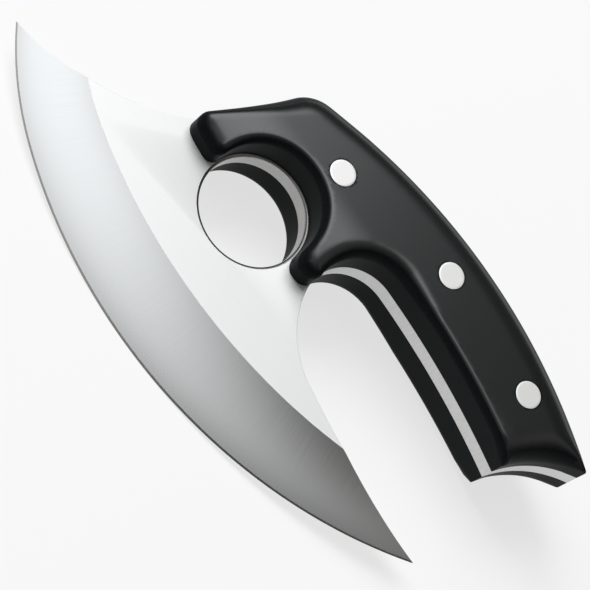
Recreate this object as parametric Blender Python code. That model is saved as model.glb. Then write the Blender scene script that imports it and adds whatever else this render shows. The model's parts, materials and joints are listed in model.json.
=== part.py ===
"""Ulu knife with a finger ring: a one-piece blade and full tang, two handle scales and three two-part rivets.

The knife is drawn flat, with the centre of its finger ring at zero, +X along the blade towards the butt,
+Y from the cutting edge towards the palm, and +Z out of the side that faces up. It is then laid down as it
rests on a table, on the belly of its cutting edge and the crown of the bottom scale.
"""

import math

import bmesh
import bpy
from mathutils import Matrix, Vector

# All lengths are in metres. Reach is along X and rise or drop along Y, both from the centre of the ring.

# Blade and tang
STEEL = 0.0044
EDGE_RADIUS = 0.1203
BELLY_REACH = 0.0080
BELLY_DROP = 0.0437
UPPER_TIP_REACH = 0.0626
LOWER_TIP_REACH = 0.0815
SWEEP_REACH = 0.0389
SWEEP_RADIUS = 0.0800
SHOULDER_RISE = 0.0030
UPPER_BACK_BOW = 0.0048
HORN_ROOT_REACH = 0.0385
HORN_ROOT_DROP = 0.0146
HORN_BOW = 0.0012
GAP_BOW = 0.0029

# Grinding of the blade, measured inwards from the cutting edge
BEVEL_WIDTH = 0.0191
BEVEL_NARROWING_SHARE = 0.34
HOLLOW_DEPTH = 0.00045
EDGE_BEVEL_WIDTH = 0.0009
EDGE_BEVEL_HALF = 0.00027

# Finger ring
RING_BORE = 0.0254
RING_CHAMFER = 0.0007

# Outline of the handle: the corners between its runs, the bow of each run, and the cut back at each corner
GUARD_FOOT_REACH = 0.0207
GUARD_FOOT_DROP = 0.0007
GROOVE_BOW = 0.0053
GROOVE_END_REACH = 0.0314
GROOVE_END_RISE = 0.0160
FRONT_BOW = 0.0013
BUTT_FRONT_REACH = 0.0768
BUTT_FRONT_RISE = 0.0100
BUTT_BOW = 0.0020
BUTT_BACK_REACH = 0.0900
BUTT_BACK_RISE = 0.0273
BACK_BOW = 0.0100
HEAD_REACH = 0.0139
HEAD_RISE = 0.0275
HEAD_CUT = 0.0052
NECK_BOW = 0.0012
NOSE_HEEL_REACH = 0.0248
NOSE_HEEL_DROP = 0.0005
NOSE_HEEL_CUT = 0.0036
NOSE_BOW = 0.0004
NOSE_TOE_DROP = 0.0024
NOSE_TOE_CUT = 0.0028
GUARD_TOE_DROP = 0.0010
GUARD_TOE_CUT = 0.0023
GUARD_FOOT_CUT = 0.0029

# Thickness and rounding of the handle scales
SCALE_THICKNESS = 0.0092
SWELL_REACH = 0.0380
NOSE_FALL_SHARE = 0.11
BUTT_FALL_SHARE = 0.12
FINGER_FALL_SHARE = 0.30
FINGER_FALL_SPAN = 0.0180
FINGER_ROUND = 0.0019
FINGER_WALL_SHARE = 0.75
PALM_ROUND = 0.0070
PALM_WALL_SHARE = 0.38
PALM_ROUND_RUN = 0.0400
BUTT_ROUND = 0.0060
BUTT_WALL_SHARE = 0.34
CORNER_WALL_SHARE = 0.53
CORNER_WALL_SPAN = 0.0120

# Two-part rivets
RIVET_HEAD = 0.00635
RIVET_HEAD_DEPTH = 0.0024
RIVET_TUBE = 0.0048
RIVET_PIN = 0.0030
HEAD_RING_SHARE = 0.5
FIRST_RIVET_REACH = 0.0048
FIRST_RIVET_RISE = 0.0190
MIDDLE_RIVET_REACH = 0.0370
MIDDLE_RIVET_RISE = 0.0260
LAST_RIVET_REACH = 0.0680
LAST_RIVET_RISE = 0.0240

# Clearance between touching pieces, overrun of every cut, and the length of a facet or cell
FIT = 0.0003
OVERRUN = 0.0010
FACET = 0.0024
CROWN_CELL = 0.0019
EDGE_FACET = 0.0032

# Counts, and shares of the sizes above
FACET_TURN = math.radians(9)
BLADE_CREASE = math.radians(10)
SCALE_CREASE = math.radians(35)
RIVET_CREASE = math.radians(30)
TURNED_SIDES = 28
RING_SIDES = 72
HOLLOW_STEPS = 6
ROUND_STEPS = 4
BUTT_STEPS = 4
BEVEL_END_SHARE = 1.08
END_OVERRUN_SHARE = 3.0
CORNER_CLEAR_SHARE = 2.2
CORNER_POWER = 8
WELD_SHARE = 0.001


def point(reach, rise):
    return Vector((reach, rise))


def arc(start, end, bow):
    """Points after start, up to end, on the arc that bows to the right of the way by the given height."""
    chord = end - start
    half = chord.length / 2
    right = Vector((chord.y, -chord.x)).normalized()
    radius = (half * half + bow * bow) / (2 * abs(bow))
    centre = (start + end) / 2 + right * (bow - math.copysign(radius, bow))
    first = start - centre
    turn = math.copysign(4 * math.atan2(abs(bow), half), bow)
    steps = max(math.ceil(abs(turn) * radius / FACET), math.ceil(abs(turn) / FACET_TURN))
    points = []
    for step in range(1, steps + 1):
        angle = turn * step / steps
        points.append(centre + Matrix.Rotation(angle, 2) @ first)
    return points


def cross(first, second):
    return first.x * second.y - first.y * second.x


def cut_back(line, length):
    """A line without the stretch that lies within the given length of its end."""
    corner = line[-1]
    points = [place for place in line[:-1] if (place - corner).length > length]
    following = line[len(points)]
    far = (points[-1] - corner).length
    near = (following - corner).length
    return points + [points[-1].lerp(following, (far - length) / (far - near))]


def rounded_runs(runs, cuts):
    """Runs that meet at corners, each corner cut back and joined by an arc at the end of its first run."""
    bodies = []
    for index, run in enumerate(runs):
        body = run
        if cuts[index]:
            body = cut_back(body, cuts[index])
        if index and cuts[index - 1]:
            body = cut_back(body[::-1], cuts[index - 1])[::-1]
        bodies.append(body)
    joined = []
    for index, body in enumerate(bodies):
        if cuts[index]:
            start = body[-1]
            end = bodies[index + 1][0]
            way = start - body[-2]
            chord = end - start
            angle = math.atan2(cross(way, chord), way.dot(chord))
            body = body + arc(start, end, chord.length / 2 * math.tan(angle / 2))[:-1]
        joined.append(body)
    return joined


def ring_rim():
    return RING_BORE / 2 + RING_CHAMFER


def on_rim(side, drop):
    """The point of the ring's rim at a drop below its centre, on the given side."""
    return point(side * math.sqrt(ring_rim() ** 2 - drop**2), -drop)


def edge_centre():
    return point(BELLY_REACH, EDGE_RADIUS - BELLY_DROP)


def down(angle):
    """The unit direction at an angle from straight down, positive towards the butt."""
    return Vector((math.sin(angle), -math.cos(angle)))


def sweep_angle():
    return -math.asin((SWEEP_REACH + BELLY_REACH) / EDGE_RADIUS)


def sweep_centre():
    return edge_centre() + down(sweep_angle()) * (EDGE_RADIUS - SWEEP_RADIUS)


def lower_tip_angle():
    return math.asin((LOWER_TIP_REACH - BELLY_REACH) / EDGE_RADIUS)


def upper_tip_angle():
    return -math.asin((UPPER_TIP_REACH + sweep_centre().x) / SWEEP_RADIUS)


def lower_tip():
    return edge_centre() + down(lower_tip_angle()) * EDGE_RADIUS


def upper_tip():
    return sweep_centre() + down(upper_tip_angle()) * SWEEP_RADIUS


def edge_stations(past_tips):
    """Pairs of edge point and outward direction along the cutting edge, from the upper tip to the lower."""
    stations = []
    first = upper_tip_angle() - past_tips / SWEEP_RADIUS
    last = lower_tip_angle() + past_tips / EDGE_RADIUS
    for centre, radius, start, end in (
        (sweep_centre(), SWEEP_RADIUS, first, sweep_angle()),
        (edge_centre(), EDGE_RADIUS, sweep_angle(), last),
    ):
        steps = math.ceil((end - start) * radius / EDGE_FACET)
        for step in range(steps):
            way = down(start + (end - start) * step / steps)
            stations.append((centre + way * radius, way))
    stations.append((edge_centre() + down(last) * EDGE_RADIUS, down(last)))
    return stations


def half_thickness(inset):
    """Half the thickness of the ground blade at a distance in from the cutting edge."""
    if inset <= EDGE_BEVEL_WIDTH:
        return EDGE_BEVEL_HALF * inset / EDGE_BEVEL_WIDTH
    share = (inset - EDGE_BEVEL_WIDTH) / (BEVEL_WIDTH - EDGE_BEVEL_WIDTH)
    straight = EDGE_BEVEL_HALF + (STEEL / 2 - EDGE_BEVEL_HALF) * share
    return straight - 4 * HOLLOW_DEPTH * share * (1 - share)


def front_run():
    """The handle's finger side, from the guard's foot along the finger groove and the grip to the butt."""
    foot = point(GUARD_FOOT_REACH, -GUARD_FOOT_DROP)
    groove_end = point(GROOVE_END_REACH, GROOVE_END_RISE)
    butt = point(BUTT_FRONT_REACH, BUTT_FRONT_RISE)
    return [foot] + arc(foot, groove_end, -GROOVE_BOW) + arc(groove_end, butt, -FRONT_BOW)


def butt_run():
    """The arch that hollows the butt, thinned out at its back corner so that the corner can be rounded."""
    front = point(BUTT_FRONT_REACH, BUTT_FRONT_RISE)
    back = point(BUTT_BACK_REACH, BUTT_BACK_RISE)
    return thinned([front] + arc(front, back, -BUTT_BOW))


def back_run():
    """The handle's palm side, from the butt to the head."""
    back = point(BUTT_BACK_REACH, BUTT_BACK_RISE)
    run = [back] + arc(back, point(-HEAD_REACH, HEAD_RISE), BACK_BOW)
    return thinned(run[::-1])[::-1]


def thinned(line):
    """A line without its points close before its last one."""
    clear = FINGER_ROUND * CORNER_CLEAR_SHARE
    return [place for place in line if (place - line[-1]).length > clear] + line[-1:]


def neck_run():
    """The outer side of the neck, from the head to the heel of the nose."""
    head = point(-HEAD_REACH, HEAD_RISE)
    return [head] + arc(head, point(-NOSE_HEEL_REACH, -NOSE_HEEL_DROP), -NECK_BOW)


def scale_sides():
    """The outline of a handle scale, anticlockwise from the back of the butt to its front."""
    toe = on_rim(-1, NOSE_TOE_DROP)
    guard_toe = on_rim(1, GUARD_TOE_DROP)
    heel = point(-NOSE_HEEL_REACH, -NOSE_HEEL_DROP)
    below = abs(cross(toe, guard_toe)) / (guard_toe - toe).length
    nose = [heel] + arc(heel, toe, NOSE_BOW)
    rim = [toe] + arc(toe, guard_toe, -(ring_rim() + below))
    front = front_run()
    guard = [guard_toe] + arc(guard_toe, front[0], GUARD_TOE_DROP)
    cuts = [HEAD_CUT, NOSE_HEEL_CUT, NOSE_TOE_CUT, GUARD_TOE_CUT, GUARD_FOOT_CUT, 0]
    runs = rounded_runs([back_run(), neck_run(), nose, rim, guard, front], cuts)
    return [place for run in runs for place in run]


def nearest(place, line):
    """The distance from a place to a line, and how far along the line its nearest point is."""
    best = None
    passed = 0.0
    for start, end in zip(line, line[1:]):
        along = end - start
        share = min(1.0, max(0.0, (place - start).dot(along) / along.length_squared))
        distance = (start + along * share - place).length
        if best is None or distance < best[0]:
            best = (distance, passed + along.length * share)
        passed += along.length
    return best


def edge_depth(distance, width):
    """One at a rounded edge, falling to zero where its rounding ends."""
    return max(0.0, 1 - distance / width)


def crown_height(place):
    """The height of the crown over the steel, before its sides are rounded."""
    if place.x < SWELL_REACH:
        run = (SWELL_REACH - place.x) / (SWELL_REACH + NOSE_HEEL_REACH)
        fall = NOSE_FALL_SHARE * run * run
    else:
        run = (place.x - SWELL_REACH) / (BUTT_BACK_REACH - SWELL_REACH)
        fall = BUTT_FALL_SHARE * run * run
    front = max(0.0, (GROOVE_END_RISE - place.y) / FINGER_FALL_SPAN)
    return SCALE_THICKNESS * (1 - fall - FINGER_FALL_SHARE * front * front)


def crown():
    """A function for the height of the finished scale over the steel at any place."""
    sides = scale_sides()
    butt = butt_run()
    heel = nearest(point(-NOSE_HEEL_REACH, -NOSE_HEEL_DROP), sides)[1]
    corner = point(BUTT_BACK_REACH, BUTT_BACK_RISE)

    def height(place):
        distance, along = nearest(place, sides)
        run = min(1.0, max(0.0, (heel - along) / PALM_ROUND_RUN))
        blend = run * run * (3 - 2 * run)
        width = FINGER_ROUND + (PALM_ROUND - FINGER_ROUND) * blend
        side_wall = FINGER_WALL_SHARE + (PALM_WALL_SHARE - FINGER_WALL_SHARE) * blend
        to_side = edge_depth(distance, width)
        to_butt = edge_depth(nearest(place, butt)[0], BUTT_ROUND)
        if to_side + to_butt == 0:
            return crown_height(place)
        depth = min(1.0, (to_side**CORNER_POWER + to_butt**CORNER_POWER) ** (1 / CORNER_POWER))
        wall = (side_wall * to_side + BUTT_WALL_SHARE * to_butt) / (to_side + to_butt)
        wall += (CORNER_WALL_SHARE - wall) * edge_depth((place - corner).length, CORNER_WALL_SPAN) ** 2
        return crown_height(place) * (wall + (1 - wall) * math.sqrt(1 - depth * depth))

    return height


def inward(points):
    """How far each point of a closed anticlockwise outline moves when its sides move in by one."""
    moves = []
    for before, place, after in zip(points[-1:] + points[:-1], points, points[1:] + points[:1]):
        along = (place - before).normalized() + (after - place).normalized()
        moves.append(Vector((-along.y, along.x)) * 2 / along.length_squared)
    return moves


def new_object(name, mesh_builder, material=None):
    mesh = bpy.data.meshes.new(name)
    mesh_builder.to_mesh(mesh)
    mesh_builder.free()
    made = bpy.data.objects.new(name, mesh)
    bpy.context.scene.collection.objects.link(made)
    if material:
        mesh.materials.append(material)
    return made


def cutter(name, mesh_builder):
    made = new_object(name, mesh_builder)
    made.hide_render = True
    made.display_type = "WIRE"
    return made


def cut(target, tool):
    boolean = target.modifiers.new(tool.name, "BOOLEAN")
    boolean.operation = "DIFFERENCE"
    boolean.solver = "EXACT"
    boolean.object = tool


def prism(points, low, high):
    """A straight-sided solid over an outline."""
    builder = bmesh.new()
    floor = builder.faces.new([builder.verts.new((place.x, place.y, low)) for place in points])
    raised = bmesh.ops.extrude_face_region(builder, geom=[floor])["geom"]
    tops = [item for item in raised if isinstance(item, bmesh.types.BMVert)]
    bmesh.ops.translate(builder, verts=tops, vec=(0, 0, high - low))
    bmesh.ops.recalc_face_normals(builder, faces=builder.faces)
    return builder


def turned(profile, centre, sides):
    """A solid turned about an upright axis from a profile of radius and height that starts and ends on it."""
    builder = bmesh.new()
    verts = [builder.verts.new((radius, 0, height)) for radius, height in profile]
    edges = [builder.edges.new(pair) for pair in zip(verts, verts[1:])]
    axis = (0, 0, 1)
    geometry = verts + edges
    bmesh.ops.spin(
        builder, geom=geometry, axis=axis, cent=(0, 0, 0), angle=math.tau, steps=sides, use_merge=True
    )
    bmesh.ops.remove_doubles(builder, verts=builder.verts, dist=FIT * WELD_SHARE)
    bmesh.ops.recalc_face_normals(builder, faces=builder.faces)
    bmesh.ops.translate(builder, verts=builder.verts, vec=(centre.x, centre.y, 0))
    return builder


def mirrored(builder):
    """Turns a solid of the top side into the one of the bottom side."""
    bmesh.ops.scale(builder, verts=builder.verts, vec=(1, 1, -1))
    bmesh.ops.reverse_faces(builder, faces=builder.faces)
    return builder


def smooth(made, angle):
    made.data.shade_smooth()
    made.data.set_sharp_from_angle(angle=angle)


def metal(name, colour, roughness):
    material = bpy.data.materials.new(name)
    material.use_nodes = True
    shader = material.node_tree.nodes["Principled BSDF"]
    shader.inputs["Base Color"].default_value = (*colour, 1)
    shader.inputs["Metallic"].default_value = 1
    shader.inputs["Roughness"].default_value = roughness
    return material


def black_composite():
    material = bpy.data.materials.new("black_composite")
    material.use_nodes = True
    shader = material.node_tree.nodes["Principled BSDF"]
    shader.inputs["Base Color"].default_value = (0.012, 0.014, 0.014, 1)
    shader.inputs["Metallic"].default_value = 0
    shader.inputs["Roughness"].default_value = 0.38
    return material


def grinding_cut():
    """What the grinding of both sides takes off the blank, as one channel swept along the cutting edge."""
    end_inset = BEVEL_WIDTH * BEVEL_END_SHARE
    outside = -OVERRUN * END_OVERRUN_SHARE
    top = STEEL / 2 + OVERRUN
    insets = [0, EDGE_BEVEL_WIDTH]
    for step in range(1, HOLLOW_STEPS + 1):
        insets.append(EDGE_BEVEL_WIDTH + (end_inset - EDGE_BEVEL_WIDTH) * step / HOLLOW_STEPS)
    upper = [(inset, half_thickness(inset)) for inset in insets] + [(end_inset, top)]
    lower = [(inset, -height) for inset, height in upper]
    section = [(outside, -top), (outside, top)] + upper[::-1] + lower[1:]

    builder = bmesh.new()
    rings = []
    for edge, way in edge_stations(OVERRUN * END_OVERRUN_SHARE):
        run = (edge.x - BELLY_REACH) / LOWER_TIP_REACH
        narrowing = 1 - BEVEL_NARROWING_SHARE * run * run
        ring = []
        for inset, height in section:
            place = edge - way * inset * narrowing
            ring.append(builder.verts.new((place.x, place.y, height)))
        rings.append(ring)
    join_rings(builder, rings)
    builder.faces.new(rings[0])
    builder.faces.new(rings[-1])
    bmesh.ops.triangulate(builder, faces=builder.faces)
    bmesh.ops.recalc_face_normals(builder, faces=builder.faces)
    return builder


def join_rings(builder, rings):
    for ring, following in zip(rings, rings[1:]):
        for index in range(len(ring)):
            after = (index + 1) % len(ring)
            builder.faces.new((ring[index], ring[after], following[after], following[index]))


def blade_outline():
    """The outline of blade and tang, with an overrun past the cutting edge and past both tips."""
    points = [edge + way * OVERRUN for edge, way in edge_stations(0)]
    root = point(HORN_ROOT_REACH, -HORN_ROOT_DROP)
    past_lower = lower_tip() + (lower_tip() - root).normalized() * OVERRUN
    front = front_run()
    points += [past_lower, lower_tip()] + arc(lower_tip(), root, -HORN_BOW)
    points += arc(root, front[0], -GAP_BOW) + front[1:] + butt_run()[1:-1]

    back, neck = rounded_runs([back_run(), neck_run()], [HEAD_CUT, 0])
    points += back + down_to_shoulder(neck)
    past_upper = upper_tip() + (upper_tip() - points[-1]).normalized() * OVERRUN
    return points + arc(points[-1], upper_tip(), -UPPER_BACK_BOW) + [past_upper]


def down_to_shoulder(neck):
    """The neck's outer side as far as the shoulder, where the blade's back leaves it."""
    points = [place for place in neck if place.y > SHOULDER_RISE]
    last = points[-1]
    following = neck[len(points)]
    return points + [last.lerp(following, (last.y - SHOULDER_RISE) / (last.y - following.y))]


def ring_bore_cut():
    top = STEEL / 2 + OVERRUN
    land = STEEL / 2 - RING_CHAMFER
    bore = RING_BORE / 2
    flare = ring_rim() + OVERRUN
    profile = [(0, -top), (flare, -top), (bore, -land), (bore, land), (flare, top), (0, top)]
    return cutter("ring_bore_cut", turned(profile, point(0, 0), RING_SIDES))


def rivet_places():
    return {
        "front": point(FIRST_RIVET_REACH, FIRST_RIVET_RISE),
        "middle": point(MIDDLE_RIVET_REACH, MIDDLE_RIVET_RISE),
        "rear": point(LAST_RIVET_REACH, LAST_RIVET_RISE),
    }


def rivet_seat(place):
    """The height of the step in a scale's rivet hole, which the rivet's head is drawn down on."""
    return STEEL / 2 + crown_height(place) - RIVET_HEAD_DEPTH


def make_blade(steel):
    builder = prism(blade_outline(), -STEEL / 2, STEEL / 2)
    geometry = list(builder.verts) + list(builder.edges) + list(builder.faces)
    below_ring = (0, -ring_rim() - FIT, 0)
    weld = FIT * WELD_SHARE
    bmesh.ops.bisect_plane(builder, geom=geometry, dist=weld, plane_co=below_ring, plane_no=(0, 1, 0))
    blade = new_object("blade_with_tang", builder, steel)
    cut(blade, cutter("grinding_cut", grinding_cut()))
    cut(blade, ring_bore_cut())
    top = STEEL / 2 + OVERRUN
    hole = RIVET_TUBE / 2 + FIT
    for name, place in rivet_places().items():
        profile = [(0, -top), (hole, -top), (hole, top), (0, top)]
        cut(blade, cutter(f"{name}_tang_hole_cut", turned(profile, place, TURNED_SIDES)))
    smooth(blade, BLADE_CREASE)
    return blade


def scale_body():
    """A handle scale of the top side: walls over the outline, rounded edges and a crowned top."""
    outline = scale_sides() + butt_run()[1:-1]
    moves = inward(outline)
    height = crown()
    quarter = math.pi / 2
    insets = [FINGER_ROUND * (1 - math.cos(quarter * step / ROUND_STEPS)) for step in range(ROUND_STEPS + 1)]

    builder = bmesh.new()
    seat = STEEL / 2 + FIT
    rings = [[builder.verts.new((place.x, place.y, seat)) for place in outline]]
    for inset in insets:
        ring = []
        for place, move in zip(outline, moves):
            inner = place + move * inset
            ring.append(builder.verts.new((inner.x, inner.y, STEEL)))
        rings.append(ring)
    join_rings(builder, rings)
    builder.faces.new(list(reversed(rings[0])))
    divide_crown(builder, builder.faces.new(rings[-1]))
    for vert in builder.verts:
        if vert.co.z > seat + FIT:
            vert.co.z = STEEL / 2 + height(vert.co.xy)
    return builder


def divide_crown(builder, face):
    """Cuts the flat top of a scale into cells, so that it can be lifted to its crown."""
    planes = []
    for axis in (Vector((1, 0, 0)), Vector((0, 1, 0))):
        reaches = [vert.co.dot(axis) for vert in face.verts]
        low, high = min(reaches), max(reaches)
        cells = math.ceil((high - low) / CROWN_CELL)
        planes += [(axis * (low + (high - low) * cell / cells), axis) for cell in range(1, cells)]
    front = point(BUTT_FRONT_REACH, BUTT_FRONT_RISE)
    chord = point(BUTT_BACK_REACH, BUTT_BACK_RISE) - front
    inwards = Vector((-chord.y, chord.x, 0)).normalized()
    for step in range(BUTT_STEPS):
        depth = BUTT_BOW + FINGER_ROUND + (BUTT_ROUND - FINGER_ROUND) * step / (BUTT_STEPS - 1)
        planes.append((front.to_3d() + inwards * depth, inwards))

    faces = [face]
    for place, normal in planes:
        verts = {vert for one in faces for vert in one.verts}
        edges = {edge for one in faces for edge in one.edges}
        geometry = list(verts) + list(edges) + faces
        divided = bmesh.ops.bisect_plane(
            builder, geom=geometry, dist=FIT * WELD_SHARE, plane_co=place, plane_no=normal
        )["geom"]
        faces = [item for item in divided if isinstance(item, bmesh.types.BMFace)]


def seat_cut(place):
    """The stepped hole for one rivet, on the top side."""
    top = STEEL / 2 + SCALE_THICKNESS + OVERRUN
    head = RIVET_HEAD / 2 + FIT
    tube = RIVET_TUBE / 2 + FIT
    seat = rivet_seat(place)
    profile = [(0, 0), (tube, 0), (tube, seat), (head, seat), (head, top), (0, top)]
    return turned(profile, place, TURNED_SIDES)


def follow_crown(builder, head_top):
    """Brings the top of a rivet's head flush with the crown round it."""
    height = crown()
    for vert in builder.verts:
        if vert.co.z > head_top - FIT * WELD_SHARE:
            vert.co.z = STEEL / 2 + height(vert.co.xy)
    return builder


def rivet_tube(place):
    """The half with the tube: a flush head, and a tube that runs through to the other head."""
    head_top = STEEL / 2 + crown_height(place)
    under = rivet_seat(place) + FIT
    end = -under + FIT
    bore = RIVET_PIN / 2 + FIT
    profile = [
        (0, head_top),
        (RIVET_HEAD / 2 * HEAD_RING_SHARE, head_top),
        (RIVET_HEAD / 2, head_top),
        (RIVET_HEAD / 2, under),
        (RIVET_TUBE / 2, under),
        (RIVET_TUBE / 2, end),
        (bore, end),
        (bore, under),
        (0, under),
    ]
    return follow_crown(turned(profile, place, TURNED_SIDES), head_top)


def rivet_pin(place):
    """The half with the pin, drawn on the top side and then mirrored to the bottom one."""
    head_top = STEEL / 2 + crown_height(place)
    under = rivet_seat(place) + FIT
    end = -under + FIT
    profile = [
        (0, head_top),
        (RIVET_HEAD / 2 * HEAD_RING_SHARE, head_top),
        (RIVET_HEAD / 2, head_top),
        (RIVET_HEAD / 2, under),
        (RIVET_PIN / 2, under),
        (RIVET_PIN / 2, end),
        (0, end),
    ]
    return mirrored(follow_crown(turned(profile, place, TURNED_SIDES), head_top))


def make_handle(composite):
    body = scale_body()
    top = new_object("top_handle_scale", body.copy(), composite)
    bottom = new_object("bottom_handle_scale", mirrored(body), composite.copy())
    for name, place in rivet_places().items():
        cut(top, cutter(f"{name}_top_seat_cut", seat_cut(place)))
        cut(bottom, cutter(f"{name}_bottom_seat_cut", mirrored(seat_cut(place))))
    for scale in (top, bottom):
        smooth(scale, SCALE_CREASE)
    return [top, bottom]


def make_rivets(bright):
    made = []
    for name, place in rivet_places().items():
        made.append(new_object(f"{name}_rivet_tube_half", rivet_tube(place), bright.copy()))
        made.append(new_object(f"{name}_rivet_pin_half", rivet_pin(place), bright.copy()))
    for rivet in made:
        smooth(rivet, RIVET_CREASE)
    return made


def corners_of(pieces):
    """Every corner of the finished pieces, with their cuts made."""
    graph = bpy.context.evaluated_depsgraph_get()
    corners = []
    for piece in pieces:
        corners += [vert.co.copy() for vert in piece.evaluated_get(graph).data.vertices]
    return corners


def lay_down(pieces):
    """Lays the knife as it rests, on the belly of its edge and the bottom scale, centred over zero."""
    corners = corners_of(pieces)
    tilt = 0.0
    for corner in corners:
        rise = corner.y + BELLY_DROP
        if rise > BEVEL_WIDTH and corner.z < 0:
            tilt = max(tilt, math.atan2(-corner.z, rise))
    turn = Matrix.Rotation(tilt, 3, "X")
    turned_corners = [turn @ corner for corner in corners]
    low = Vector([min(corner[axis] for corner in turned_corners) for axis in range(3)])
    high = Vector([max(corner[axis] for corner in turned_corners) for axis in range(3)])

    knife = bpy.data.objects.new("ulu_knife", None)
    knife.empty_display_size = RING_BORE
    bpy.context.scene.collection.objects.link(knife)
    knife.rotation_euler = (tilt, 0, 0)
    knife.location = (-(low.x + high.x) / 2, -(low.y + high.y) / 2, -low.z)
    return knife


def main():
    for old in list(bpy.data.objects):
        bpy.data.objects.remove(old)
    steel = metal("stainless_steel", (0.62, 0.62, 0.61), 0.22)
    bright = metal("rivet_metal", (0.80, 0.79, 0.77), 0.18)
    pieces = [make_blade(steel)]
    pieces += make_handle(black_composite())
    pieces += make_rivets(bright)
    bpy.context.view_layer.update()
    knife = lay_down(pieces)
    for made in list(bpy.context.scene.collection.objects):
        if made is not knife:
            made.parent = knife
    bpy.context.view_layer.update()
    print("tilted by", knife.rotation_euler.x, "and moved to", tuple(knife.location))


main()
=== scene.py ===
# %% [markdown]
# # Dressing an ulu knife
#
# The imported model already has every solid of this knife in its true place: a one-piece blade with a finger
# ring and a full tang, two black handle scales, and three two-part rivets. This lesson makes finer pieces
# over those solids, gives each one a finish made of nodes, and photographs the knife on a pale table.

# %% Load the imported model
import json
import math

import bpy
import numpy as np
from mathutils import Matrix, Vector

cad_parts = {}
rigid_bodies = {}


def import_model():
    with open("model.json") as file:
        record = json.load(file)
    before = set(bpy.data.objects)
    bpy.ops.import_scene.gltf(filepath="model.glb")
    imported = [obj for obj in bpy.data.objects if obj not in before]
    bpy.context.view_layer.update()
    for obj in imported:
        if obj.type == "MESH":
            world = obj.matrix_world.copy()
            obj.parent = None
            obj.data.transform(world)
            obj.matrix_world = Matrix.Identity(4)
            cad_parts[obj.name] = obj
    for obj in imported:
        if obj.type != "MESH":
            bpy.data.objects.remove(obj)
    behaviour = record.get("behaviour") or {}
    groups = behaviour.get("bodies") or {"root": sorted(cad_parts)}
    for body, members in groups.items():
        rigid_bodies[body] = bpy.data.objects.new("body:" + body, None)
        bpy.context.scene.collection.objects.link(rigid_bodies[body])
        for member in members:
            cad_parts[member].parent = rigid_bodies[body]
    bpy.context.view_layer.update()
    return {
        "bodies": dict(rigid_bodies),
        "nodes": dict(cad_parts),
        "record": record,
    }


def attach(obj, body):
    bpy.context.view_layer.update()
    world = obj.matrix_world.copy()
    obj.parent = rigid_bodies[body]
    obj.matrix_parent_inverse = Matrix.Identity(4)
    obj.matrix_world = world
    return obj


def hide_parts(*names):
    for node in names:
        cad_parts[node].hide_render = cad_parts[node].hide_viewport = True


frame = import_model()
BODY = sorted(frame["bodies"])[0]
print("nodes", sorted(frame["nodes"]), "riding on", BODY)

# %% [markdown]
# The knife is easiest to draw lying flat, with the centre of its finger ring at zero, X running along the
# blade towards the butt, and Y running from the cutting edge towards the palm. The sizes are in metres.
# "Reach" is measured along X, "rise" and "drop" along Y, and "bow" is how far an arc stands off the
# straight line between its ends. They are the sizes of the solids, but for a narrower honed edge and some
# softer roundings on the handle. Finer arcs reach a little further out than the coarse ones of the solids,
# so four sizes are a hair smaller, which keeps the dressed knife inside the box of the solids.

# %% Sizes of the blade
HAIR = 0.00002
STEEL = 0.0044
EDGE_RADIUS = 0.1203
BELLY_REACH = 0.0080
BELLY_DROP = 0.0437 - HAIR / 4
SWEEP_REACH = 0.0389
SWEEP_RADIUS = 0.0800
UPPER_TIP_REACH = 0.0626 - HAIR
LOWER_TIP_REACH = 0.0815
UPPER_BACK_BOW = 0.0048
HORN_ROOT = Vector((0.0385, -0.0146))
HORN_BOW = 0.0012
GAP_BOW = 0.0029
BEVEL_WIDTH = 0.0191
BEVEL_NARROWING = 0.34
HOLLOW_DEPTH = 0.00045
EDGE_BEVEL_WIDTH = 0.0005
EDGE_BEVEL_HALF = 0.00015
RING_RADIUS = 0.0127
RING_CHAMFER = 0.0007

# %% Sizes of the handle's outline and of the rivets' places
GUARD_FOOT = Vector((0.0207, -0.0007))
GROOVE_END = Vector((0.0314, 0.0160))
GROOVE_BOW = 0.0053
FRONT_BOW = 0.0013
BUTT_FRONT = Vector((0.0768, 0.0100))
BUTT_BACK = Vector((0.0900, 0.0273))
BUTT_BOW = 0.0020
BACK_BOW = 0.0100 - HAIR / 4
HEAD = Vector((-0.0139, 0.0275))
HEAD_CUT = 0.0052
NECK_BOW = 0.0012
NOSE_HEEL = Vector((-0.0248, -0.0005))
NOSE_HEEL_CUT = 0.0036
NOSE_BOW = 0.0004
NOSE_TOE_DROP = 0.0024
NOSE_TOE_CUT = 0.0028
GUARD_TOE_DROP = 0.0010
GUARD_TOE_CUT = 0.0023
GUARD_FOOT_CUT = 0.0029
SHOULDER_RISE = 0.0030
RIVET_PLACES = {
    "front": Vector((0.0048, 0.0190)),
    "middle": Vector((0.0370, 0.0260)),
    "rear": Vector((0.0680, 0.0240)),
}

# %% [markdown]
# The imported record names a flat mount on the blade. Its axis shows how far the knife leans as it rests on
# its edge and on the lower scale, and its place how far the drawing has to move. Every piece is drawn flat
# and then laid down by this one turn and shift, so it lands on the solid that it stands for.

# %% How the knife is laid down
MOUNT_POINT = Vector((0.0080, -0.0190, STEEL / 2))
mount = frame["record"]["mounts"][0]
TILT = math.atan2(-mount["axis"][1], mount["axis"][2])
TURN = Matrix.Rotation(TILT, 4, "X")
SHIFT = Vector(mount["pos_m"]) - TURN @ MOUNT_POINT
LAY_DOWN = Matrix.Translation(SHIFT) @ TURN
INTO_FLAT = LAY_DOWN.inverted()
TURN_BACK = INTO_FLAT.to_3x3()
print("leans by", round(math.degrees(TILT), 2), "degrees")
print("moved by", [round(x * 1000, 2) for x in SHIFT], "mm")

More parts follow.
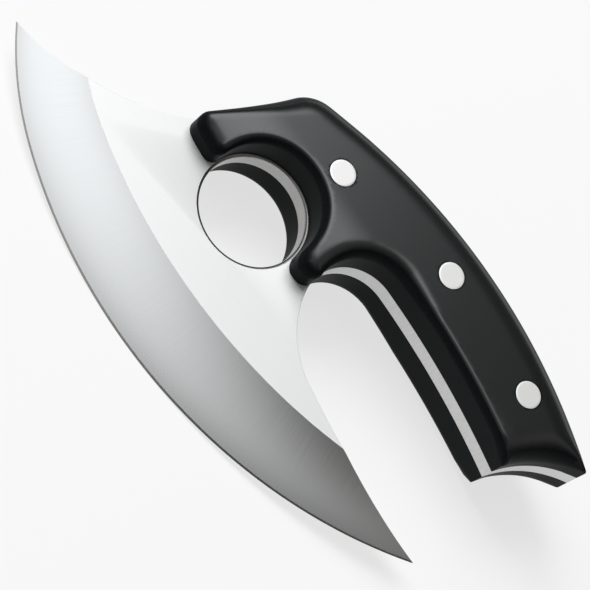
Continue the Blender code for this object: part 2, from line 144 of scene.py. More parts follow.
# %% [markdown]
# Every outline here is a chain of circular arcs, as it would be set out with compasses. An arc is kept as
# its start, the centre that it turns about and how far it turns, and a corner is rounded by cutting both
# arcs back and joining them with a small third one. Points set by eye would have no radius to change.

# %% Arcs that are set out from their ends
def arc_between(start, end, bow):
    """The arc from start to end that bows to the right of the way by the given height."""
    chord = end - start
    half = chord.length / 2
    right = Vector((chord.y, -chord.x)).normalized()
    radius = (half * half + bow * bow) / (2 * abs(bow))
    centre = (start + end) / 2 + right * (bow - math.copysign(radius, bow))
    return start, centre, math.copysign(4 * math.atan2(abs(bow), half), bow)


def along(arc, share):
    """The point at a share of the way along an arc."""
    start, centre, turn = arc
    return centre + Matrix.Rotation(turn * share, 2) @ (start - centre)


def shortened(arc, at_start, at_end):
    """An arc cut back at its two ends by these distances."""
    start, centre, turn = arc
    radius = (start - centre).length
    sign = math.copysign(1, turn)
    first = sign * 2 * math.asin(at_start / (2 * radius))
    last = sign * 2 * math.asin(at_end / (2 * radius))
    return centre + Matrix.Rotation(first, 2) @ (start - centre), centre, turn - first - last


def joined(arcs, cuts):
    """Arcs that meet at corners, with each corner rounded over the given cut."""
    bodies = [shortened(arc, before, after) for arc, before, after in zip(arcs, [0] + cuts, cuts + [0])]
    chain = []
    for index, body in enumerate(bodies):
        chain.append(body)
        if index < len(cuts) and cuts[index]:
            end, following = along(body, 1), bodies[index + 1][0]
            radial = end - body[1]
            way = Vector((-radial.y, radial.x)) * math.copysign(1, body[2])
            chord = following - end
            angle = math.atan2(way.x * chord.y - way.y * chord.x, way.dot(chord))
            chain.append(arc_between(end, following, chord.length / 2 * math.tan(angle / 2)))
    return chain


# %% The arcs of the handle
RIM_RADIUS = RING_RADIUS + RING_CHAMFER
NOSE_TOE = Vector((-math.sqrt(RIM_RADIUS**2 - NOSE_TOE_DROP**2), -NOSE_TOE_DROP))
GUARD_TOE = Vector((math.sqrt(RIM_RADIUS**2 - GUARD_TOE_DROP**2), -GUARD_TOE_DROP))
TOE_LINE = GUARD_TOE - NOSE_TOE
BELOW_TOES = abs(NOSE_TOE.x * GUARD_TOE.y - NOSE_TOE.y * GUARD_TOE.x) / TOE_LINE.length

BACK_ARC = arc_between(BUTT_BACK, HEAD, BACK_BOW)
NECK_ARC = arc_between(HEAD, NOSE_HEEL, -NECK_BOW)
NOSE_ARC = arc_between(NOSE_HEEL, NOSE_TOE, NOSE_BOW)
RIM_ARC = arc_between(NOSE_TOE, GUARD_TOE, -(RIM_RADIUS + BELOW_TOES))
GUARD_ARC = arc_between(GUARD_TOE, GUARD_FOOT, GUARD_TOE_DROP)
GROOVE_ARC = arc_between(GUARD_FOOT, GROOVE_END, -GROOVE_BOW)
GRIP_ARC = arc_between(GROOVE_END, BUTT_FRONT, -FRONT_BOW)
BUTT_ARC = arc_between(BUTT_FRONT, BUTT_BACK, -BUTT_BOW)

SCALE_CHAIN = joined(
    [BACK_ARC, NECK_ARC, NOSE_ARC, RIM_ARC, GUARD_ARC, GROOVE_ARC, GRIP_ARC],
    [HEAD_CUT, NOSE_HEEL_CUT, NOSE_TOE_CUT, GUARD_TOE_CUT, GUARD_FOOT_CUT, 0],
)
print("the scale's outline has", len(SCALE_CHAIN) + 1, "arcs, with the butt's")

# %% The arcs of the cutting edge
EDGE_CENTRE = Vector((BELLY_REACH, EDGE_RADIUS - BELLY_DROP))


def down(angle):
    """The unit direction at an angle from straight down, positive towards the butt."""
    return Vector((math.sin(angle), -math.cos(angle)))


SWEEP_ANGLE = -math.asin((SWEEP_REACH + BELLY_REACH) / EDGE_RADIUS)
SWEEP_CENTRE = EDGE_CENTRE + down(SWEEP_ANGLE) * (EDGE_RADIUS - SWEEP_RADIUS)
LOWER_ANGLE = math.asin((LOWER_TIP_REACH - BELLY_REACH) / EDGE_RADIUS)
UPPER_ANGLE = -math.asin((UPPER_TIP_REACH + SWEEP_CENTRE.x) / SWEEP_RADIUS)
UPPER_TIP = SWEEP_CENTRE + down(UPPER_ANGLE) * SWEEP_RADIUS
LOWER_TIP = EDGE_CENTRE + down(LOWER_ANGLE) * EDGE_RADIUS
print("tips at", [round(x * 1000, 2) for x in (*UPPER_TIP, *LOWER_TIP)], "mm")

# %% [markdown]
# An outline is drawn as by hand: one vertex is spun about each arc's centre in turn, and extruded along
# each straight. With no window, spin and rotate turn clockwise for a positive angle, so signs are changed.

# %% Drawing with one vertex
WELD = 0.00001


def new_drawing(name, place, height):
    """A new mesh of one vertex at a place, left in edit mode with the vertex picked."""
    bpy.ops.object.select_all(action="DESELECT")
    bpy.ops.mesh.primitive_plane_add(size=STEEL)
    drawing = bpy.context.object
    drawing.name = name
    bpy.ops.object.mode_set(mode="EDIT")
    bpy.ops.mesh.select_mode(type="VERT")
    bpy.ops.mesh.merge(type="CENTER")
    bpy.ops.transform.translate(value=(place.x, place.y, height))
    return drawing


def draw_arc(arc, height, spacing):
    """Spins the picked vertex along an arc."""
    start, centre, turn = arc
    steps = max(2, math.ceil(abs(turn) * (start - centre).length / spacing))
    bpy.ops.mesh.spin(steps=steps, angle=-turn, center=(centre.x, centre.y, height), axis=(0, 0, 1))


def draw_line(start, end):
    """Extrudes the picked vertex along a straight."""
    bpy.ops.mesh.extrude_vertices_move(TRANSFORM_OT_translate={"value": (*(end - start), 0)})


def fill_and_raise(thickness):
    """Closes the drawn outline, fills it and raises it to a solid."""
    bpy.ops.mesh.select_all(action="SELECT")
    bpy.ops.mesh.remove_doubles(threshold=WELD)
    bpy.ops.mesh.edge_face_add()
    bpy.ops.mesh.extrude_region_move(TRANSFORM_OT_translate={"value": (0, 0, thickness)})
    bpy.ops.mesh.select_all(action="SELECT")
    bpy.ops.mesh.normals_make_consistent(inside=False)


# %% [markdown]
# An operator acts on whatever is picked, so small helpers pick a piece alone, or its edges or faces by
# where their corners lie. Another takes a solid away with a Boolean modifier, which is applied at once.

# %% Picking and cutting
def pick_alone(made):
    """Makes a piece the only one that is picked, in object mode."""
    bpy.ops.object.mode_set(mode="OBJECT")
    bpy.ops.object.select_all(action="DESELECT")
    made.select_set(True)
    bpy.context.view_layer.objects.active = made


def pick(made, kind, test):
    """Picks the edges or the faces of a mesh whose corners pass a test, and stays in edit mode."""
    bpy.ops.object.mode_set(mode="EDIT")
    bpy.ops.mesh.select_mode(type=kind)
    bpy.ops.mesh.select_all(action="DESELECT")
    bpy.ops.object.mode_set(mode="OBJECT")
    mesh = made.data
    count = 0
    for item in mesh.edges if kind == "EDGE" else mesh.polygons:
        item.select = test([mesh.vertices[corner].co for corner in item.vertices])
        count += item.select
    bpy.ops.object.mode_set(mode="EDIT")
    return count


def take_away(made, tool):
    """Cuts another solid out of a piece, then deletes it."""
    bpy.ops.object.mode_set(mode="OBJECT")
    boolean = made.modifiers.new(tool.name, "BOOLEAN")
    boolean.operation = "DIFFERENCE"
    boolean.solver = "EXACT"
    boolean.object = tool
    bpy.context.view_layer.objects.active = made
    bpy.ops.object.modifier_apply(modifier=boolean.name)
    bpy.data.objects.remove(tool)


# %% [markdown]
# ## The blank of the blade
#
# The real blade starts as a blank, sawn or laser-cut from 4.4 mm stainless sheet: crescent, finger ring and
# tang in one piece. The outline is drawn a little outside the cutting edge, because grinding takes that
# away. Every edge gets a hair-fine bevel, which a file or a belt leaves and which catches the light.

# %% The lines that only the blade has
OVERRUN = 0.0010
HALVINGS = 30


def straight_past(tip, inner):
    """A point a little past a tip, in line with the back of its horn."""
    return tip + (tip - inner).normalized() * OVERRUN


def stopped_at_rise(arc, rise):
    """An arc that comes down, as far as the given height."""
    low, high = 0.0, 1.0
    for _ in range(HALVINGS):
        middle = (low + high) / 2
        if along(arc, middle).y > rise:
            low = middle
        else:
            high = middle
    return arc[0], arc[1], arc[2] * low


back, head_corner, neck = joined([BACK_ARC, NECK_ARC], [HEAD_CUT])
neck = stopped_at_rise(neck, SHOULDER_RISE)
shoulder = along(neck, 1)
upper_back = arc_between(shoulder, UPPER_TIP, -UPPER_BACK_BOW)
sweep_start = SWEEP_CENTRE + down(UPPER_ANGLE) * (SWEEP_RADIUS + OVERRUN)
edge_start = EDGE_CENTRE + down(SWEEP_ANGLE) * (EDGE_RADIUS + OVERRUN)
edge_end = EDGE_CENTRE + down(LOWER_ANGLE) * (EDGE_RADIUS + OVERRUN)
past_lower = straight_past(LOWER_TIP, HORN_ROOT)
print("the shoulder is at", [round(x * 1000, 2) for x in shoulder], "mm")

# %% Draw the blank
BLADE_SPACING = 0.0009
LOW = -STEEL / 2

blade = new_drawing("crescent_blade_and_tang", sweep_start, LOW)
draw_arc((sweep_start, SWEEP_CENTRE, SWEEP_ANGLE - UPPER_ANGLE), LOW, BLADE_SPACING)
draw_arc((edge_start, EDGE_CENTRE, LOWER_ANGLE - SWEEP_ANGLE), LOW, BLADE_SPACING)
draw_line(edge_end, past_lower)
draw_line(past_lower, LOWER_TIP)
for arc in (
    arc_between(LOWER_TIP, HORN_ROOT, -HORN_BOW),
    arc_between(HORN_ROOT, GUARD_FOOT, -GAP_BOW),
    GROOVE_ARC,
    GRIP_ARC,
    BUTT_ARC,
    back,
    head_corner,
    neck,
    upper_back,
):
    draw_arc(arc, LOW, BLADE_SPACING)
draw_line(UPPER_TIP, straight_past(UPPER_TIP, shoulder))
fill_and_raise(STEEL)
bpy.ops.object.mode_set(mode="OBJECT")
print("the blank has", len(blade.data.polygons), "faces")

# %% Ease the blank's edges
EASED_EDGE = 0.00014
EASED_STEPS = 2


def in_a_face(corners):
    """Whether all these corners lie in the upper or the lower face of the steel."""
    return all(abs(abs(corner.z) - STEEL / 2) < WELD for corner in corners)


def on_blank_rim(ends):
    """Whether an edge of the blank bounds its upper or its lower face."""
    return in_a_face(ends) and ends[0].z * ends[1].z > 0


eased = pick(blade, "EDGE", on_blank_rim)
bpy.ops.mesh.bevel(offset=EASED_EDGE, segments=EASED_STEPS, affect="EDGES")
bpy.ops.object.mode_set(mode="OBJECT")
print("eased", eased, "edges of the blank")

# %% [markdown]
# ## The finger ring and the rivet holes
#
# The ring is bored through and its two rims are rounded over, so that nothing sharp is left inside it. A
# cylinder is taken away, and the two circles of edges that it leaves are bevelled in ten steps. The tang is
# drilled for the three rivets in the same way, with a hair of room for each tube.

# %% A drill, and the bore of the ring
RING_SIDES = 180
RING_STEPS = 10


def drill(name, place, radius, low, high, sides):
    """An upright cylinder from one height to another, with its place in its mesh."""
    bpy.ops.object.mode_set(mode="OBJECT")
    bpy.ops.object.select_all(action="DESELECT")
    bpy.ops.mesh.primitive_cylinder_add(
        vertices=sides, radius=radius, depth=high - low, location=(place.x, place.y, (low + high) / 2)
    )
    tool = bpy.context.object
    tool.name = name
    bpy.ops.object.transform_apply(location=True, rotation=True, scale=True)
    return tool


def on_ring_rim(ends):
    """Whether an edge lies in one of the two circles of the bore."""
    return in_a_face(ends) and all(abs(end.xy.length - RING_RADIUS) < WELD for end in ends)


take_away(blade, drill("ring_bore", Vector((0, 0)), RING_RADIUS, -STEEL, STEEL, RING_SIDES))
rounded = pick(blade, "EDGE", on_ring_rim)
bpy.ops.mesh.bevel(offset=RING_CHAMFER, segments=RING_STEPS, affect="EDGES", clamp_overlap=False)
print("rounded", rounded, "edges of the ring")

# %% Drill the tang
HOLE_SIDES = 48
RIVET_TUBE_RADIUS = 0.0024
SNUG = 0.00003
for name, place in RIVET_PLACES.items():
    take_away(blade, drill(name + "_tang_hole", place, RIVET_TUBE_RADIUS + SNUG, -STEEL, STEEL, HOLE_SIDES))
print("drilled", len(RIVET_PLACES), "holes in the tang")

# %% [markdown]
# ## Hollow grinding
#
# The bevel is ground on a big wheel, so it is a shallow trough and not a flat: it mirrors a whole stretch
# of the room, which is why it shades from white to dark grey in the photograph. The channel that the wheel
# and the final honing take off, on both sides at once, is drawn as one closed section. It is extruded,
# turned about the edge's centre and narrowed towards the tips, station by station, and the sweep is then
# taken from the blank. Two cutters, one for each side, would meet in a seam along the cutting edge.

# %% The section of the channel
HOLLOW_STEPS = 22
PAST_END = 1.08
OUTSIDE = 3 * OVERRUN


def half_thickness(inset):
    """Half the thickness of the ground blade at a distance in from the cutting edge."""
    if inset <= EDGE_BEVEL_WIDTH:
        return EDGE_BEVEL_HALF * inset / EDGE_BEVEL_WIDTH
    share = (inset - EDGE_BEVEL_WIDTH) / (BEVEL_WIDTH - EDGE_BEVEL_WIDTH)
    straight = EDGE_BEVEL_HALF + (STEEL / 2 - EDGE_BEVEL_HALF) * share
    return straight - 4 * HOLLOW_DEPTH * share * (1 - share)


upper_side = [(0, 0)]
for step in range(HOLLOW_STEPS + 1):
    inset = EDGE_BEVEL_WIDTH + (BEVEL_WIDTH * PAST_END - EDGE_BEVEL_WIDTH) * step / HOLLOW_STEPS
    upper_side.append((inset, half_thickness(inset)))
upper_side.append((upper_side[-1][0], STEEL))
lower_side = [(inset, -height) for inset, height in upper_side[1:]]
section = [(-OUTSIDE, -STEEL), (-OUTSIDE, STEEL)] + upper_side[::-1] + lower_side
print("the channel's section has", len(section), "points")

# %% The stations of the sweep
STATION_SPACING = 0.0014


def narrowing(edge):
    """How much of its full width the bevel has at a point of the edge."""
    run = (edge.x - BELLY_REACH) / LOWER_TIP_REACH
    return 1 - BEVEL_NARROWING * run * run


def stations():
    """The edge point, the centre and the angle of each station, from past one tip to past the other."""
    found = []
    for centre, radius, first, last in (
        (SWEEP_CENTRE, SWEEP_RADIUS, UPPER_ANGLE - OUTSIDE / SWEEP_RADIUS, SWEEP_ANGLE),
        (EDGE_CENTRE, EDGE_RADIUS, SWEEP_ANGLE, LOWER_ANGLE + OUTSIDE / EDGE_RADIUS),
    ):
        steps = math.ceil((last - first) * radius / STATION_SPACING)
        for step in range(steps + 1):
            angle = first + (last - first) * step / steps
            if not found or step:
                found.append((centre + down(angle) * radius, centre, angle))
    return found


sweep = stations()
print("the channel is swept over", len(sweep), "stations")

# %% Sweep the channel and take it away
edge, centre, angle = sweep[0]
width = narrowing(edge)
corners = [Vector((*(edge - down(angle) * inset * width), height)) for inset, height in section]
channel = new_drawing("grinding_channel", corners[0].xy, corners[0].z)
for start, end in zip(corners, corners[1:]):
    bpy.ops.mesh.extrude_vertices_move(TRANSFORM_OT_translate={"value": end - start})
bpy.ops.mesh.select_all(action="SELECT")
bpy.ops.mesh.edge_face_add()
for edge, centre, new_angle in sweep[1:]:
    bpy.ops.mesh.extrude_region_move()
    bpy.ops.transform.rotate(value=angle - new_angle, orient_axis="Z", center_override=(*centre, 0))
    new_width = narrowing(edge)
    shrink = new_width / width
    bpy.ops.transform.resize(value=(shrink, shrink, 1), center_override=(*edge, 0))
    angle, width = new_angle, new_width
bpy.ops.mesh.select_all(action="SELECT")
bpy.ops.mesh.quads_convert_to_tris()
bpy.ops.mesh.normals_make_consistent(inside=False)
take_away(blade, channel)
print("the ground blade has", len(blade.data.polygons), "faces")

# %% [markdown]
# ## The handle scales
#
# Each scale is a slab of black composite, glued and riveted to the tang and then ground to a palm swell. It
# has a thin steep edge on the finger side and a wide soft one on the palm side. The slab is drawn and
# raised to its full thickness. Its top is inset in narrow rings, which will carry the edge's rounding, and
# cut into small cells by bisecting planes. The cells become triangles while the top is still flat, where
# Blender finds the best ones.

# %% Draw one slab
SCALE_THICKNESS = 0.0092 - HAIR
FINGER_ROUND = 0.0019
BACK_CLEAR = 2.2 * FINGER_ROUND
FRONT_CLEAR = 1.2 * FINGER_ROUND
SCALE_SPACING = 0.0008
SEAT = STEEL / 2 + WELD
TOP = STEEL / 2 + SCALE_THICKNESS


def draw_scale_outline(height):
    """Draws the scale's outline, with a straight either side of both corners of the butt."""
    back = shortened(SCALE_CHAIN[0], BACK_CLEAR, 0)
    grip = shortened(SCALE_CHAIN[-1], 0, FRONT_CLEAR)
    butt = shortened(BUTT_ARC, FRONT_CLEAR, BACK_CLEAR)
    drawing = new_drawing("top_contoured_scale", back[0], height)
    for arc in [back] + SCALE_CHAIN[1:-1] + [grip]:
        draw_arc(arc, height, SCALE_SPACING)
    draw_line(along(grip, 1), BUTT_FRONT)
    draw_line(BUTT_FRONT, butt[0])
    draw_arc(butt, height, SCALE_SPACING)
    draw_line(along(butt, 1), BUTT_BACK)
    return drawing


slab = draw_scale_outline(SEAT)
fill_and_raise(TOP - SEAT)
print("the slab is", round((TOP - SEAT) * 1000, 2), "mm thick")

# %% Inset its top
ROUND_STEPS = 8


def on_top(corners):
    """Whether all these corners lie in the slab's flat top."""
    return all(corner.z > TOP - WELD for corner in corners)


pick(slab, "FACE", on_top)
passed = 0
for step in range(1, ROUND_STEPS + 1):
    reach = FINGER_ROUND * (1 - math.cos(math.pi / 2 * step / ROUND_STEPS))
    bpy.ops.mesh.inset(thickness=reach - passed, use_even_offset=True)
    passed = reach
bpy.ops.object.mode_set(mode="OBJECT")
print("the slab has", len(slab.data.vertices), "vertices before its top is divided")

# %% Divide the rest of the top into cells
CROWN_CELL = 0.0008
bpy.ops.object.mode_set(mode="EDIT")
bpy.ops.mesh.hide(unselected=True)
low, high = Vector(slab.bound_box[0]), Vector(slab.bound_box[6])
for axis in (Vector((1, 0, 0)), Vector((0, 1, 0))):
    first, last = low.dot(axis), high.dot(axis)
    cells = math.ceil((last - first) / CROWN_CELL)
    for cell in range(1, cells):
        place = axis * (first + (last - first) * cell / cells)
        bpy.ops.mesh.select_all(action="SELECT")
        bpy.ops.mesh.bisect(plane_co=(*place.xy, TOP), plane_no=axis, threshold=WELD / 2)
bpy.ops.mesh.select_all(action="SELECT")
bpy.ops.mesh.quads_convert_to_tris(quad_method="BEAUTY", ngon_method="BEAUTY")
bpy.ops.mesh.reveal()
bpy.ops.object.mode_set(mode="OBJECT")
print("the divided slab has", len(slab.data.polygons), "faces")

# %% [markdown]
# A maker grinds the crown freehand. Here a formula gives the height that is left at each point, from how
# far it is from the finger side, the palm side and the butt. Each edge is a quarter of an ellipse over a
# short wall: narrow and steep by the fingers, wider at the nose, the guard and the groove, wide and soft in
# the palm. The crown between them falls off towards the nose, the butt and the cutting edge. Runs are
# measured along the outline, from the butt's back corner round by the head and the nose.

# %% Sizes of the crown
SWELL_REACH = 0.0380
NOSE_FALL = 0.11
BUTT_FALL = 0.12
FINGER_FALL = 0.30
FINGER_FALL_SPAN = 0.0180
FINGER_WALL = 0.75
PALM_ROUND = 0.0070
PALM_WALL = 0.38
PALM_ROUND_RUN = 0.0400
SOFT_ROUND = 0.0034
SOFT_WALL = 0.64
NOSE_SOFT_RUNS = [-0.0020, 0.0030, 0.0085, 0.0120]
GUARD_SOFT_RUNS = [-0.0040, 0.0010]
GROOVE_SOFT_RUNS = [0, 0.0120]
SOFT_SHARES = [0, 1, 1, 0, 0, 1, 1, 0]
BUTT_ROUND = 0.0060
BUTT_WALL = 0.34
CORNER_WALL = 0.46
CORNER_WALL_SPAN = 0.0120
CORNER_POWER = 3
CLOSEST = 0.000001

# %% How far a place is from an edge
def traced(arcs, spacing):
    """The points of a chain of arcs, as an array."""
    points = [arcs[0][0]]
    for arc in arcs:
        steps = max(2, math.ceil(abs(arc[2]) * (arc[0] - arc[1]).length / spacing))
        points += [along(arc, step / steps) for step in range(1, steps + 1)]
    return np.array([list(point) for point in points])


def nearest(places, line):
    """How far each place is from a line of points, and at what run along the line it is nearest."""
    best = np.full(len(places), np.inf)
    run = np.zeros(len(places))
    passed = 0.0
    for start, end in zip(line, line[1:]):
        way = end - start
        length = math.hypot(*way)
        share = np.clip((places - start) @ way / length**2, 0, 1)
        distance = np.hypot(*(places - start - share[:, None] * way).T)
        closer = distance < best
        best[closer] = distance[closer]
        run[closer] = passed + length * share[closer]
        passed += length
    return best, run


SIDE_LINE = traced(SCALE_CHAIN, SCALE_SPACING)
BUTT_LINE = traced([BUTT_ARC], SCALE_SPACING)
HEEL_RUN, GUARD_RUN, GROOVE_RUN = nearest(np.array([NOSE_HEEL, GUARD_TOE, GROOVE_END]), SIDE_LINE)[1]
SOFT_RUNS = (
    [HEEL_RUN + run for run in NOSE_SOFT_RUNS]
    + [GUARD_RUN + run for run in GUARD_SOFT_RUNS]
    + [GROOVE_RUN + run for run in GROOVE_SOFT_RUNS]
)
print("the rounding softens and hardens at runs of", [round(run * 1000, 1) for run in SOFT_RUNS], "mm")

# %% The height of the finished surface
def crown_height(places):
    """The crown's height over the steel at each place, before its edges are rounded."""
    before = np.clip((SWELL_REACH - places[:, 0]) / (SWELL_REACH - NOSE_HEEL.x), 0, None)
    after = np.clip((places[:, 0] - SWELL_REACH) / (BUTT_BACK.x - SWELL_REACH), 0, None)
    front = np.clip((GROOVE_END.y - places[:, 1]) / FINGER_FALL_SPAN, 0, None)
    return SCALE_THICKNESS * (1 - NOSE_FALL * before**2 - BUTT_FALL * after**2 - FINGER_FALL * front**2)


def eased_share(share):
    """A share from 0 to 1 that sets out and arrives gently."""
    return share * share * (3 - 2 * share)


def both_roundings(to_side, to_butt):
    """How deep two roundings go together, from how deep each of them goes alone."""
    parts = [np.clip(1 - share, CLOSEST, 1) ** -CORNER_POWER for share in (to_side, to_butt)]
    return 1 - (sum(parts) - 1) ** (-1 / CORNER_POWER)


def surface_height(places):
    """The height of the finished scale over the steel at each place."""
    distance, run = nearest(places, SIDE_LINE)
    palm = eased_share(np.clip((HEEL_RUN - run) / PALM_ROUND_RUN, 0, 1))
    soft = np.interp(run, SOFT_RUNS, SOFT_SHARES)
    width = FINGER_ROUND + (PALM_ROUND - FINGER_ROUND) * palm + (SOFT_ROUND - FINGER_ROUND) * soft
    side_wall = FINGER_WALL + (PALM_WALL - FINGER_WALL) * palm + (SOFT_WALL - FINGER_WALL) * soft
    to_side = np.clip(1 - distance / width, 0, None)
    to_butt = np.clip(1 - nearest(places, BUTT_LINE)[0] / BUTT_ROUND, 0, None)
    depth = both_roundings(to_side, to_butt)
    total = np.where(to_side + to_butt > 0, to_side + to_butt, 1)
    wall = (side_wall * to_side + BUTT_WALL * to_butt) / total
    from_corner = np.hypot(*(places - np.array(BUTT_BACK)).T)
    wall += (CORNER_WALL - wall) * np.clip(1 - from_corner / CORNER_WALL_SPAN, 0, None) ** 2
    return crown_height(places) * (wall + (1 - wall) * np.sqrt(1 - depth**2))


heights = surface_height(np.array([list(place) for place in RIVET_PLACES.values()]))
print("at the rivets the scale is", [round(height * 1000, 2) for height in heights], "mm thick")

# %% [markdown]
# The top could be moved vertex by vertex in code. It is done as a modeller would: a vertex group says how
# much of the slab's thickness is ground away at each point, and a Displace modifier takes it off.

# %% Grind the crown
def grind_crown(made):
    """Takes the top of a piece down to the crown, and says how low and how high it is then."""
    bpy.ops.object.mode_set(mode="OBJECT")
    ground = made.vertex_groups.new(name="ground_away")
    tops = [vertex for vertex in made.data.vertices if vertex.co.z > TOP - WELD]
    heights = surface_height(np.array([list(vertex.co.xy) for vertex in tops]))
    for vertex, height in zip(tops, heights):
        ground.add([vertex.index], 1 - height / SCALE_THICKNESS, "REPLACE")
    lowering = made.modifiers.new("grinding", "DISPLACE")
    lowering.direction = "Z"
    lowering.mid_level = 0
    lowering.strength = -SCALE_THICKNESS
    lowering.vertex_group = ground.name
    bpy.context.view_layer.objects.active = made
    bpy.ops.object.modifier_apply(modifier=lowering.name)
    made.vertex_groups.clear()
    return heights.min(), heights.max()


print("crown from", [round(height * 1000, 2) for height in grind_crown(slab)], "mm over the steel")

# %% [markdown]
# ## The rivets
#
# A knife handle of this kind is held by cutler's rivets: one half has a tube and the other a pin that jams
# in it. Their heads sit in stepped holes and are ground flush with the handle. First the holes are drilled
# in the slab, a narrow one for the shank and a wide one for the head.

# %% Drill the stepped holes
RIVET_RADIUS = 0.003175
RIVET_DEPTH = 0.0024
HEAD_SIDES = HOLE_SIDES * 2


def seat_height(place):
    """The height of the step that a rivet's head is drawn down on."""
    return STEEL / 2 + crown_height(np.array([list(place)]))[0] - RIVET_DEPTH


for name, place in RIVET_PLACES.items():
    seat = seat_height(place)
    shank_radius, head_radius = RIVET_TUBE_RADIUS + SNUG, RIVET_RADIUS + SNUG
    take_away(slab, drill(name + "_shank_hole", place, shank_radius, -STEEL, seat + WELD, HOLE_SIDES))
    take_away(slab, drill(name + "_head_hole", place, head_radius, seat, TOP + STEEL, HEAD_SIDES))
    print(name, "head sits", round(seat * 1000, 2), "mm above the middle of the steel")

# %% [markdown]
# A rivet half starts as a short cylinder. Its top is inset in rings and ground by the same formula as the
# scale, so the two meet flush. Its rim is eased, and its underside is inset and extruded down to a shank
# that stops just short of the other half's head. The tube's shank is then hollowed in the same way.

# %% A rivet half
RIVET_PIN_RADIUS = 0.0015
HEAD_RINGS = 5
HEAD_EASE = 0.00012
HEAD_EASE_STEPS = 3


def rivet_half(name, place, shank_radius, bore_radius=0):
    """A head ground to the crown, on a shank that runs through the handle and may be hollow."""
    seat = seat_height(place)

    def on_rim(ends):
        outside = all((end.xy - place).length > RIVET_RADIUS - WELD for end in ends)
        return outside and all(end.z > seat + HEAD_EASE for end in ends)

    def underneath(corners):
        return all(corner.z < seat + WELD for corner in corners)

    made = drill(name, place, RIVET_RADIUS, seat, TOP, HEAD_SIDES)
    pick(made, "FACE", on_top)
    for _ in range(HEAD_RINGS):
        bpy.ops.mesh.inset(thickness=RIVET_RADIUS / (HEAD_RINGS + 1))
    grind_crown(made)
    pick(made, "EDGE", on_rim)
    bpy.ops.mesh.bevel(offset=HEAD_EASE, segments=HEAD_EASE_STEPS, affect="EDGES")
    pick(made, "FACE", underneath)
    bpy.ops.mesh.inset(thickness=RIVET_RADIUS - shank_radius)
    bpy.ops.mesh.extrude_region_move(TRANSFORM_OT_translate={"value": (0, 0, -2 * seat + SNUG)})
    if bore_radius:
        bpy.ops.mesh.inset(thickness=shank_radius - bore_radius)
        bpy.ops.mesh.extrude_region_move(TRANSFORM_OT_translate={"value": (0, 0, 2 * seat - SNUG)})
    bpy.ops.object.mode_set(mode="OBJECT")
    return made


# %% [markdown]
# The knife is the same on both sides, so the lower scale is a copy of the upper one, turned over through
# the middle of the steel. A negative scale turns a shape inside out, so its normals are made outward again.
# The pin halves come up from below and are turned over in the same way.

# %% Copy the slab and make the six rivet halves
def turned_over(made):
    """Turns a piece of the upper side into one of the lower side."""
    pick_alone(made)
    bpy.ops.object.mode_set(mode="EDIT")
    bpy.ops.mesh.select_all(action="SELECT")
    bpy.ops.transform.resize(value=(1, 1, -1), center_override=(0, 0, 0))
    bpy.ops.mesh.normals_make_consistent(inside=False)
    bpy.ops.object.mode_set(mode="OBJECT")
    return made


pick_alone(slab)
bpy.ops.object.duplicate()
lower_slab = turned_over(bpy.context.object)
lower_slab.name = "bottom_contoured_scale"
stands_for = {blade: "blade_with_tang", slab: "top_handle_scale", lower_slab: "bottom_handle_scale"}
rivets = []
for name, place in RIVET_PLACES.items():
    tube = rivet_half(name + "_rivet_with_tube", place, RIVET_TUBE_RADIUS, RIVET_PIN_RADIUS + SNUG)
    pin = turned_over(rivet_half(name + "_rivet_with_pin", place, RIVET_PIN_RADIUS))
    stands_for[tube] = name + "_rivet_tube_half"
    stands_for[pin] = name + "_rivet_pin_half"
    rivets += [tube, pin]
for made, node in stands_for.items():
    print(made.name, "has", len(made.data.polygons), "faces and stands for", node)

# %% [markdown]
# ## Laying the pieces down
#
# All pieces are drawn, so each gets the one turn and shift, and keeps it in its mesh. Long soft surfaces
# are shaded smooth and true edges stay sharp: the limit is small on the blade, whose grind line is a fold
# of only eleven degrees, and larger on the handle. A limit alone isn't enough for a scale: its ground
# surface has to be smooth all over, and sharp where it meets a wall, however steep it has become there.

# %% Which edges of a scale are sharp
WALL_LEVEL = 0.02


def part_of_scale(face, mesh):
    """Whether a face belongs to a scale's seat, to its upright wall or to its ground surface."""
    if all(abs(mesh.vertices[corner].co.z) < SEAT + WELD for corner in face.vertices):
        return "seat"
    return "wall" if abs(face.normal.z) < WALL_LEVEL else "ground"


def sharpen_borders(made):
    """Makes an edge between two parts of a scale sharp, and one inside its ground surface smooth."""
    mesh = made.data
    around = {}
    for face in mesh.polygons:
        for key in face.edge_keys:
            around.setdefault(key, set()).add(part_of_scale(face, mesh))
    borders = 0
    for line in mesh.edges:
        if len(around[line.key]) > 1:
            line.use_edge_sharp = True
            borders += 1
        elif around[line.key] == {"ground"}:
            line.use_edge_sharp = False
    return borders


# %% Lay down, smooth and hand over to the frame
BLADE_CREASE = math.radians(10)
SCALE_CREASE = math.radians(38)
RIVET_CREASE = math.radians(35)
creases = {blade: BLADE_CREASE, slab: SCALE_CREASE, lower_slab: SCALE_CREASE}
for made, node in stands_for.items():
    pick_alone(made)
    bpy.ops.object.shade_smooth_by_angle(angle=creases.get(made, RIVET_CREASE))
    if made in (slab, lower_slab):
        print(made.name, "has", sharpen_borders(made), "edges where its ground surface ends")
    made.matrix_world = LAY_DOWN
    bpy.ops.object.transform_apply(location=True, rotation=True, scale=True)
    made.data.name = made.name
    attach(made, BODY)
    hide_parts(node)

# %% [markdown]
# ## Finishes
#
# Every pattern reads Object coordinates, turned back by a Mapping node to the flat drawing, so that X runs
# along the knife again. A noise is stretched to the direction of a tool's marks, and shades the colour, the
# roughness and a very low relief of the finish. A picture of steel would need unfolding and would hold one
# room's reflections for ever.

# %% A finish and its marks
COARSE, FINE = 2, 3
NOISE_RANGE = (0.3, 0.7)


